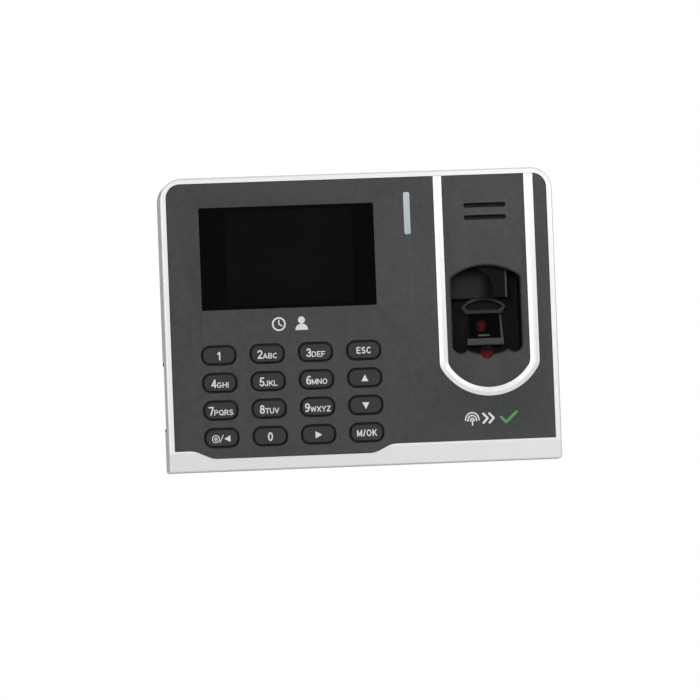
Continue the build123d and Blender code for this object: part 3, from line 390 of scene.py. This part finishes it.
def display_window():
    """Black printed border with a slightly lighter smoked area over the display."""
    low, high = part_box("lcd_glass")
    edge = 3.5 * MM
    s = Shader("display_window", (0.003, 0.003, 0.0035), 0.06, specular=0.12)
    area = s.inside(low.x + edge, high.x - edge, low.z + 1.7 * MM, high.z - 1.7 * MM, 0.15 * MM)
    haze = s.tint(s.noise(18 * MM, 3.0), [(0.3, (0.0028, 0.0034, 0.0032)), (0.7, (0.0042, 0.0050, 0.0047))])
    s.colour(s.mix(area, (0.0018, 0.0019, 0.0021), haze))
    s.roughness(s.spread(s.noise(6 * MM, 5.0), 0.04, 0.12))
    return s.bump(s.noise(25 * MM), 0.02 * MM, 0.3).material


def light_pipe():
    low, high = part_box("status_light_pipe")
    s = Shader("light_pipe", (0.42, 0.50, 0.54), 0.35, specular=0.5)
    along = s.spread(s.axis("Z"), 0.0, 1.0, low.z, high.z)
    s.colour(s.tint(along, [(0.0, (0.35, 0.43, 0.46)), (0.5, (0.42, 0.49, 0.51)), (1.0, (0.46, 0.52, 0.54))]))
    s.surface.inputs["Subsurface Weight"].default_value = 0.2
    s.surface.inputs["Subsurface Radius"].default_value = (0.002, 0.002, 0.002)
    return s.bump(s.noise(0.6 * MM, 3.0), 0.02 * MM, 0.4).material


def prism_glass():
    """Dark optical glass, with a painted red glow of the LED behind it through the middle and a painted pale
    reflection line below it.
    """
    low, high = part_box("sensor_prism")
    s = Shader("prism_glass", (0.002, 0.002, 0.0022), 0.1, specular=0.08)
    glow_x, glow_z = (low.x + high.x) / 2 - 1.9 * MM, low.z + 5.6 * MM
    # painted light: the glass itself emits this red glow, standing in for the LED shining through it
    glow = s.inside(glow_x - 1.1 * MM, glow_x + 1.3 * MM, glow_z - 1.7 * MM, glow_z + 1.9 * MM, 1.3 * MM)
    broken = s.spread(s.noise(2.2 * MM, 2.0), 0.25, 1.0, 0.38, 0.62)
    # painted reflection: a pale line coloured onto the glass below the glow
    reflection_x, reflection_z = (low.x + high.x) / 2 - 0.7 * MM, low.z + 1.4 * MM
    reflection_line = s.inside(reflection_x - 2.6 * MM, reflection_x + 2.6 * MM, reflection_z - 0.2 * MM, reflection_z + 0.2 * MM, 0.35 * MM)
    s.colour(s.mix(reflection_line, (0.002, 0.002, 0.0022), (0.16, 0.16, 0.155)))
    strength = s.maths("MULTIPLY", s.maths("MULTIPLY", glow, broken), 0.11)
    s.surface.inputs["Emission Color"].default_value = (1.0, 0.16, 0.12, 1.0)
    s.link(strength, s.surface.inputs["Emission Strength"])
    s.roughness(s.spread(s.noise(2 * MM, 4.0), 0.06, 0.16))
    return s.bump(s.noise(3 * MM, 4.0), 0.01 * MM, 0.3).material


def red_lens():
    """Deep red plastic, with painted shade darkening it towards the top where it goes back into the well."""
    low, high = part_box("sensor_light_guide")
    middle = (low.z + high.z) / 2
    s = Shader("red_lens", (0.09, 0.005, 0.003), 0.35, specular=0.06)
    # painted shade: the upper part of the lens is coloured nearly black
    shade = s.spread(s.axis("Z"), 0.0, 1.0, middle - 1.2 * MM, middle + 0.9 * MM)
    red = s.mix(s.noise(1.0 * MM), (0.05, 0.003, 0.002), (0.085, 0.0045, 0.0025))
    s.colour(s.mix(shade, red, (0.004, 0.0015, 0.0012)))
    x, z = (low.x + high.x) / 2, low.z + 1.2 * MM
    spot = s.inside(x - 0.6 * MM, x + 0.6 * MM, z - 0.4 * MM, z + 0.4 * MM, 0.9 * MM)
    s.surface.inputs["Emission Color"].default_value = (1.0, 0.12, 0.02, 1.0)
    s.link(s.maths("MULTIPLY", spot, 0.08), s.surface.inputs["Emission Strength"])
    s.roughness(s.spread(s.noise(1.5 * MM), 0.3, 0.42))
    return s.bump(s.noise(0.8 * MM), 0.02 * MM, 0.3).material


def metal(name, colour, rough, grain, direction):
    """Plated sheet or turned metal with fine drawn lines along one axis."""
    s = Shader(name, colour, rough, metallic=1.0)
    lines = s.noise(grain, 5.0, 0.7, s.stretched(direction))
    patches = s.noise(7 * MM, 4.0)
    dull = tuple(0.8 * c for c in colour)
    s.colour(s.mix(s.spread(patches, 0.0, 0.6), colour, dull))
    s.roughness(s.spread(lines, rough - 0.1, rough + 0.12))
    return s.bump(lines, 0.008 * MM, 0.6).material


def screw_steel():
    return metal("screw_steel", (0.52, 0.52, 0.53), 0.32, 0.3 * MM, (1.0, 1.0, 0.15))


def bracket_steel():
    return metal("bracket_steel", (0.58, 0.59, 0.60), 0.36, 0.5 * MM, (0.06, 1.0, 1.0))


def thin_steel():
    return metal("thin_steel", (0.62, 0.62, 0.63), 0.25, 0.4 * MM, (0.08, 1.0, 1.0))


def circuit_board():
    """Green solder mask over faint copper tracks and plated holes."""
    s = Shader("circuit_board", (0.012, 0.10, 0.04), 0.3, specular=0.5)
    tracks = s.node("ShaderNodeTexBrick", offset=0.37)
    tracks.inputs["Scale"].default_value = 1.0 / (9 * MM)
    tracks.inputs["Mortar Size"].default_value = 0.03
    swap = s.node("ShaderNodeMapping")
    swap.inputs["Rotation"].default_value = (math.pi / 2, 0.0, 0.0)
    s.link(s.place, swap.inputs["Vector"])
    s.link(swap.outputs["Vector"], tracks.inputs["Vector"])
    mask = s.tint(s.noise(6 * MM), [(0.3, (0.008, 0.075, 0.030)), (0.7, (0.013, 0.105, 0.045))])
    lines = s.mix(tracks.outputs["Fac"], mask, (0.03, 0.19, 0.075))
    pads = s.spread(s.cells(2.4 * MM), 1.0, 0.0, 0.10, 0.14)
    s.colour(s.mix(pads, lines, (0.55, 0.50, 0.40)))
    return s.bump(tracks.outputs["Fac"], 0.03 * MM, 0.5).material


def soft_plastic(name, colour, rough, grain, depth, sheen=0.0):
    """Rubber, foam, film or jacket: even colour broken by fine noise."""
    s = Shader(name, colour, rough, specular=0.4)
    light = tuple(min(1.0, 1.18 * c) for c in colour)
    dark = tuple(0.84 * c for c in colour)
    s.colour(s.tint(s.noise(grain, 4.0), [(0.3, dark), (0.7, light)]))
    s.surface.inputs["Sheen Weight"].default_value = sheen
    s.roughness(s.spread(s.noise(5 * grain), rough - 0.05, rough + 0.05))
    return s.bump(s.noise(grain, 3.0), depth, 0.7).material


def ink(name, colour, dark, light):
    """Printed ink, slightly uneven in colour."""
    s = Shader(name, colour, 0.5, specular=0.3)
    s.colour(s.tint(s.noise(0.3 * MM, 3.0), [(0.3, dark), (0.7, light)]))
    return s.bump(s.noise(0.2 * MM), 0.005 * MM, 0.4).material


def make_materials():
    """One material for each slot of the record, and those of the added pieces."""
    return {
        "silver_paint": silver_paint(), "dark_panel": dark_panel(), "dark_shell": dark_shell(),
        "display_window": display_window(), "light_pipe": light_pipe(),
        "circuit_board": circuit_board(), "well_plastic": well_plastic(),
        "stop_plastic": stop_plastic(), "sensor_grey": sensor_grey(),
        "prism_glass": prism_glass(), "red_lens": red_lens(),
        "black_plastic": black_plastic(), "screw_steel": screw_steel(),
        "bracket_steel": bracket_steel(), "thin_steel": thin_steel(),
        "key_rubber": key_rubber(),
        "print_white": ink("print_white", (0.66, 0.67, 0.67), (0.60, 0.61, 0.61), (0.73, 0.74, 0.74)),
        "print_green": ink("print_green", (0.07, 0.28, 0.08), (0.06, 0.24, 0.07), (0.085, 0.31, 0.09)),
        "silicone": soft_plastic("silicone", (0.20, 0.20, 0.21), 0.6, 0.4 * MM, 0.02 * MM, 0.2),
        "flat_cable": soft_plastic("flat_cable", (0.70, 0.70, 0.66), 0.3, 1.0 * MM, 0.01 * MM),
        "foam": soft_plastic("foam", (0.03, 0.03, 0.03), 0.9, 0.3 * MM, 0.15 * MM, 0.3),
        "display_glass": soft_plastic("display_glass", (0.02, 0.025, 0.03), 0.08, 8 * MM, 0.005 * MM),
        "lens_glass": soft_plastic("lens_glass", (0.03, 0.03, 0.04), 0.2, 0.8 * MM, 0.01 * MM),
        "speaker_paper": soft_plastic("speaker_paper", (0.022, 0.022, 0.023), 0.85, 0.3 * MM,
                                      0.05 * MM, 0.1),
        "wire_jacket": soft_plastic("wire_jacket", (0.45, 0.02, 0.02), 0.35, 0.6 * MM, 0.01 * MM),
        "connector_plastic": soft_plastic("connector_plastic", (0.72, 0.69, 0.60), 0.45, 0.5 * MM,
                                          0.02 * MM),
        "button_plastic": soft_plastic("button_plastic", (0.03, 0.03, 0.03), 0.3, 0.4 * MM, 0.01 * MM),
    }


def paint_cad_nodes(materials):
    """Each node wears its slot's material; two nodes have one of their own."""
    own = {"finger_guide": guide_plastic(), "usb_port": usb_steel()}
    for part in frame["record"]["subparts"]:
        node = NODES[part["node"]]
        node.data.materials.clear()
        node.data.materials.append(own.get(part["node"]) or materials[part["material_slot"]])


# ---------------------------------------------------------------- printed marks
PRINT_T = 0.03 * MM         # thickness of the printed ink
BIG, SMALL, WORD = 4.0 * MM, 2.5 * MM, 3.0 * MM      # capital heights
PEN_BIG, PEN_SMALL, PEN_WORD = 0.62 * MM, 0.42 * MM, 0.50 * MM      # line widths of those
SMALL_STRETCH = 1.22        # the small letters are this much wider than drawn
DIGIT_GAP = 0.1 * MM        # digit to small letters
LETTER_GAP, WORD_GAP = 0.08, 0.16       # between letters, as a share of their height
PRINT_DROP = 0.2 * MM       # most prints sit this much below the key's middle
GLYPH_STEPS, CAP_STEPS = 18, 8          # pieces of a letter's arc, and of a line's round end
CORNER = math.radians(25)   # a path that turns more than this has a corner there
ARROW = 3.2 * MM            # size of the arrow keys' triangles
MARK_PEN = 0.62 * MM
MARK_BELOW_TRIM, MARK_BELOW_WINDOW = 10.3 * MM, 7.3 * MM


def flat_piece(name, mesh, x, front, z, material, body):
    """Place a mesh drawn in its own XY plane on a face that looks towards -Y."""
    piece = bpy.data.objects.new(name, mesh)
    bpy.context.scene.collection.objects.link(piece)
    turn = Matrix.Rotation(math.pi / 2, 4, "X")
    mesh.transform(Matrix.Translation((x, front, z)) @ turn)
    mesh.materials.clear()
    mesh.materials.append(material)
    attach(piece, body)
    return piece


def traced(path, scale_x, scale_y):
    """Points of a path, with its arcs worked out."""
    points = []
    for item in path:
        if len(item) == 2:
            points.append((item[0] * scale_x, item[1] * scale_y))
        else:
            x, y, rx, ry, start, stop = item
            points += arc(x * scale_x, y * scale_y, rx * scale_x, start, stop,
                          ry * scale_y, GLYPH_STEPS)
    return points


def smooth_runs(points):
    """The path cut at its corners, so that each run turns gently."""
    runs, run = [], points[:1]
    for index in range(1, len(points)):
        run.append(points[index])
        if index + 1 < len(points):
            before = Vector(points[index]) - Vector(points[index - 1])
            after = Vector(points[index + 1]) - Vector(points[index])
            if min(before.length, after.length) > 1e-9 and before.angle(after) > CORNER:
                runs.append(run)
                run = [points[index]]
    runs.append(run)
    return [r for r in runs if len(r) > 1]


def lettering(words, height, pen, stretch=1.0, gap=LETTER_GAP):
    """Outlines of printed words with their left foot at the origin, and their width."""
    outlines, x = [], 0.0
    for letter in words:
        width, paths = GLYPHS[letter]
        for path in paths:
            points = [(px + x, py) for px, py in traced(path, height * stretch, height)]
            outlines += [stroke(run, pen) for run in smooth_runs(points)]
        x += (width + gap) * height * stretch
    return outlines, x - gap * height * stretch


def shifted(outlines, dx, dy):
    return [[(x + dx, y + dy) for x, y in points] for points in outlines]


def plate_mesh(outlines):
    """One thin ink plate from closed outlines, merged where they overlap."""
    corners, rings = [], []
    for points in outlines:
        turning = sum(x0 * y1 - x1 * y0 for (x0, y0), (x1, y1) in zip(points, points[1:] + points[:1]))
        ordered = points if turning > 0 else points[::-1]
        rings.append(list(range(len(corners), len(corners) + len(ordered))))
        corners += [Vector(point) for point in ordered]
    merged = delaunay_2d_cdt(corners, [], rings, 1, 1e-7)
    places, faces, sources = merged[0], merged[2], merged[5]
    work = bmesh.new()
    verts = [work.verts.new((place.x, place.y, -PRINT_T / 2)) for place in places]
    for face, source in zip(faces, sources):
        if source:
            work.faces.new([verts[index] for index in face])
    bmesh.ops.delete(work, geom=[v for v in work.verts if not v.link_faces], context="VERTS")
    moved = bmesh.ops.extrude_face_region(work, geom=work.faces[:])["geom"]
    raised = [item for item in moved if isinstance(item, bmesh.types.BMVert)]
    bmesh.ops.translate(work, vec=(0, 0, PRINT_T), verts=raised)
    bmesh.ops.recalc_face_normals(work, faces=work.faces)
    mesh = bpy.data.meshes.new("plate")
    work.to_mesh(mesh)
    work.free()
    return mesh


def stroke(points, width):
    """Outline of a line of a width with round ends, through points."""
    half = width / 2
    left, right = [], []
    for index, point in enumerate(points):
        before = points[max(0, index - 1)]
        after = points[min(len(points) - 1, index + 1)]
        dx, dy = after[0] - before[0], after[1] - before[1]
        length = math.hypot(dx, dy)
        nx, ny = -dy / length * half, dx / length * half
        left.append((point[0] + nx, point[1] + ny))
        right.append((point[0] - nx, point[1] - ny))
    ends = []
    for tip, start in ((points[-1], left[-1]), (points[0], right[0])):
        angle = math.atan2(start[1] - tip[1], start[0] - tip[0])
        turns = [angle - math.pi * k / CAP_STEPS for k in range(1, CAP_STEPS)]
        ends.append([(tip[0] + half * math.cos(t), tip[1] + half * math.sin(t)) for t in turns])
    return left + ends[0] + right[::-1] + ends[1]


def arc(x, y, radius_x, start, stop, radius_y=None, steps=24):
    """Points of an arc between two angles in degrees."""
    radius_y = radius_y or radius_x
    angles = [math.radians(start + (stop - start) * k / steps) for k in range(steps + 1)]
    return [(x + radius_x * math.cos(a), y + radius_y * math.sin(a)) for a in angles]


def circle(x, y, radius, pen, steps=24):
    """Outlines of a ring's two halves."""
    return [stroke(arc(x, y, radius, start, start + 180, steps=steps), pen) for start in (0, 180)]


def print_on_key(key, outlines, drop, materials):
    """White print on a key's face, a little below its middle; it moves with the key."""
    low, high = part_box(key)
    flat_piece(f"legend_{key}", plate_mesh(outlines), (low.x + high.x) / 2, low.y - PRINT_T / 2,
               (low.z + high.z) / 2 - drop, materials["print_white"], key)


def make_legend(key, big, small, materials):
    """A big digit with small letters beside it, or a word."""
    if big:
        outlines, width = lettering(big, BIG, PEN_BIG)
        foot = -BIG / 2 - PRINT_DROP
        if small:
            letters, more = lettering(small, SMALL, PEN_SMALL, stretch=SMALL_STRETCH)
            outlines += shifted(letters, width + DIGIT_GAP, 0.0)
            width += DIGIT_GAP + more
    else:
        outlines, width = lettering(small, WORD, PEN_WORD, gap=WORD_GAP)
        foot = -WORD / 2 - (0.0 if key == "key_escape" else PRINT_DROP)
    print_on_key(key, shifted(outlines, -width / 2, foot), 0.0, materials)


def triangle(size, angle):
    """Arrow head pointing at an angle in degrees."""
    turn = math.radians(angle)
    points = [(0.5, 0.0), (-0.45, 0.5), (-0.45, -0.5)]
    return [(size * (x * math.cos(turn) - y * math.sin(turn)),
             size * (x * math.sin(turn) + y * math.cos(turn))) for x, y in points]


def make_symbol_keys(materials):
    """Arrow keys, and the on-off key that doubles as the left arrow."""
    for key, angle in (("key_up", 90), ("key_down", -90), ("key_right", 0)):
        print_on_key(key, [triangle(ARROW, angle)], PRINT_DROP, materials)
    ring_x = -2.8 * MM
    shapes = circle(ring_x, 0, 1.6 * MM, 0.4 * MM) + circle(ring_x, 0, 0.55 * MM, 0.45 * MM, steps=12)
    shapes.append(stroke([(-0.9 * MM, -1.6 * MM), (0.6 * MM, 1.7 * MM)], 0.35 * MM))
    shapes += shifted([triangle(3.0 * MM, 180)], 2.5 * MM, 0.0)
    print_on_key("key_left", shapes, 2 * PRINT_DROP, materials)


def make_panel_marks(materials):
    """Plain pictograms where the front has its printing."""
    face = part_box("front_panel")[0].y
    trim_low, trim_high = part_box("sensor_trim")
    window_low, window_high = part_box("lcd_window")
    white, green = materials["print_white"], materials["print_green"]
    arches = [stroke(arc(0, -0.8 * MM, r * MM, 200 - 7 * r, -20 + 7 * r, 1.15 * r * MM), MARK_PEN)
              for r in (0.8, 1.95, 3.1)]
    arches.append(stroke([(0.0, -0.9 * MM), (0.05 * MM, -3.0 * MM)], MARK_PEN))
    x, z = (trim_low.x + trim_high.x) / 2 - 0.5 * MM, trim_low.z - MARK_BELOW_TRIM
    flat_piece("finger_mark", plate_mesh(arches), x - 8.6 * MM, face, z, white, "housing")
    chevrons = []
    for tip in (-0.5 * MM, 2.3 * MM):
        back = tip - 2 * MM
        chevrons.append(stroke([(back, 2.1 * MM), (tip, 0.0)], 1.0 * MM))
        chevrons.append(stroke([(tip, 0.0), (back, -2.1 * MM)], 1.0 * MM))
    flat_piece("arrow_mark", plate_mesh(chevrons), x - 1.0 * MM, face, z, white, "housing")
    tick = [stroke([(-3.2 * MM, 0.2 * MM), (-1.0 * MM, -2.1 * MM)], 1.2 * MM),
            stroke([(-1.0 * MM, -2.1 * MM), (3.9 * MM, 2.4 * MM)], 1.2 * MM)]
    flat_piece("tick_mark", plate_mesh(tick), x + 8.0 * MM, face, z, green, "housing")
    clock = circle(0, 0, 2.8 * MM, 0.75 * MM)
    clock.append(stroke([(0, 1.7 * MM), (0, 0)], 0.6 * MM))
    clock.append(stroke([(0, 0), (1.3 * MM, -0.8 * MM)], 0.6 * MM))
    x, z = (window_low.x + window_high.x) / 2, window_low.z - MARK_BELOW_WINDOW
    flat_piece("clock_mark", plate_mesh(clock), x - 5.2 * MM, face, z, white, "housing")
    shoulders = arc(0, -3.0 * MM, 2.9 * MM, 0, 180, 2.9 * MM)
    head = arc(0, 1.55 * MM, 1.6 * MM, 0, 345, steps=23)
    flat_piece("person_mark", plate_mesh([shoulders, head]), x + 5.2 * MM, face, z, white, "housing")


# ---------------------------------------------------------------- stage
FLOOR_HALF = 12.0           # half the floor's side
WORLD_FILL = 0.13           # strength of the surroundings as a light
SUNS = {                    # direction, strength and spread in degrees
    "key_light": ((0.30, 1.0, -0.20), 1.38, 30),
    "left_fill": ((1.0, 0.30, -0.22), 0.82, 50),
    "back_light": ((-0.3, -1.0, -0.6), 1.3, 60),
}
SOFTBOX_PLACE, SOFTBOX_POWER, SOFTBOX_SIZE = (0.28, -0.42, 0.14), 0.80, 0.18


def make_stage():
    """Pale floor and white surroundings."""
    mesh = bpy.data.meshes.new("floor")
    low = CAD_BOX[0].z - MOUNTING_HEIGHT
    corners = [(FLOOR_HALF * x, FLOOR_HALF * y, low) for x, y in ((-1, -1), (1, -1), (1, 1), (-1, 1))]
    mesh.from_pydata(corners, [], [(0, 1, 2, 3)])
    floor = bpy.data.objects.new("floor", mesh)
    bpy.context.scene.collection.objects.link(floor)
    s = Shader("floor_paint", (0.86, 0.86, 0.86), 0.8, specular=0.1)
    mesh.materials.append(s.material)
    world = bpy.data.worlds.new("studio")
    bpy.context.scene.world = world
    world.use_nodes = True
    nodes, links = world.node_tree.nodes, world.node_tree.links
    background = nodes["Background"]
    background.inputs["Color"].default_value = (1.0, 1.0, 1.0, 1.0)
    fill = nodes.new("ShaderNodeMapRange")
    fill.inputs["To Min"].default_value = WORLD_FILL
    fill.inputs["To Max"].default_value = 1.0
    links.new(nodes.new("ShaderNodeLightPath").outputs["Is Camera Ray"], fill.inputs["Value"])
    links.new(fill.outputs["Result"], background.inputs["Strength"])
    bpy.context.scene.view_settings.view_transform = "Standard"


def add_light(name, kind, strength, direction):
    """Light of a kind that shines along a direction."""
    data = bpy.data.lights.new(name, kind)
    data.energy = strength
    light = bpy.data.objects.new(name, data)
    light.rotation_mode = "QUATERNION"
    light.rotation_quaternion = Vector(direction).to_track_quat("-Z", "Y")
    bpy.context.scene.collection.objects.link(light)
    return light


def make_lights():
    """Broad even suns, and a softbox that makes the front's upper right a little brighter."""
    for name, (direction, strength, spread) in SUNS.items():
        sun = add_light(name, "SUN", strength, direction)
        sun.data.angle = math.radians(spread)
    softbox = add_light("softbox", "AREA", SOFTBOX_POWER, -Vector(SOFTBOX_PLACE))
    softbox.data.size = SOFTBOX_SIZE
    softbox.location = SOFTBOX_PLACE


def make_camera():
    yaw, pitch, roll = (math.radians(a) for a in (CAMERA_YAW, CAMERA_PITCH, CAMERA_ROLL))
    level = math.cos(pitch)
    forward = Vector((math.sin(yaw) * level, math.cos(yaw) * level, math.sin(pitch)))
    right = Vector((math.cos(yaw), -math.sin(yaw), 0.0))
    up = right.cross(forward)
    across = math.cos(roll) * right - math.sin(roll) * up
    upward = math.sin(roll) * right + math.cos(roll) * up
    data = bpy.data.cameras.new("camera")
    data.lens = CAMERA_LENS
    data.sensor_width = CAMERA_SENSOR
    camera = bpy.data.objects.new("camera", data)
    turn = Matrix((across, upward, -forward)).transposed().to_4x4()
    camera.matrix_world = Matrix.Translation(CAMERA_AIM - CAMERA_DISTANCE * forward) @ turn
    bpy.context.scene.collection.objects.link(camera)
    bpy.context.scene.camera = camera


def main():
    materials = make_materials()
    paint_cad_nodes(materials)
    for key, (big, small) in KEY_LABELS.items():
        make_legend(key, big, small, materials)
    make_symbol_keys(materials)
    make_panel_marks(materials)
    make_stage()
    make_lights()
    make_camera()


main()
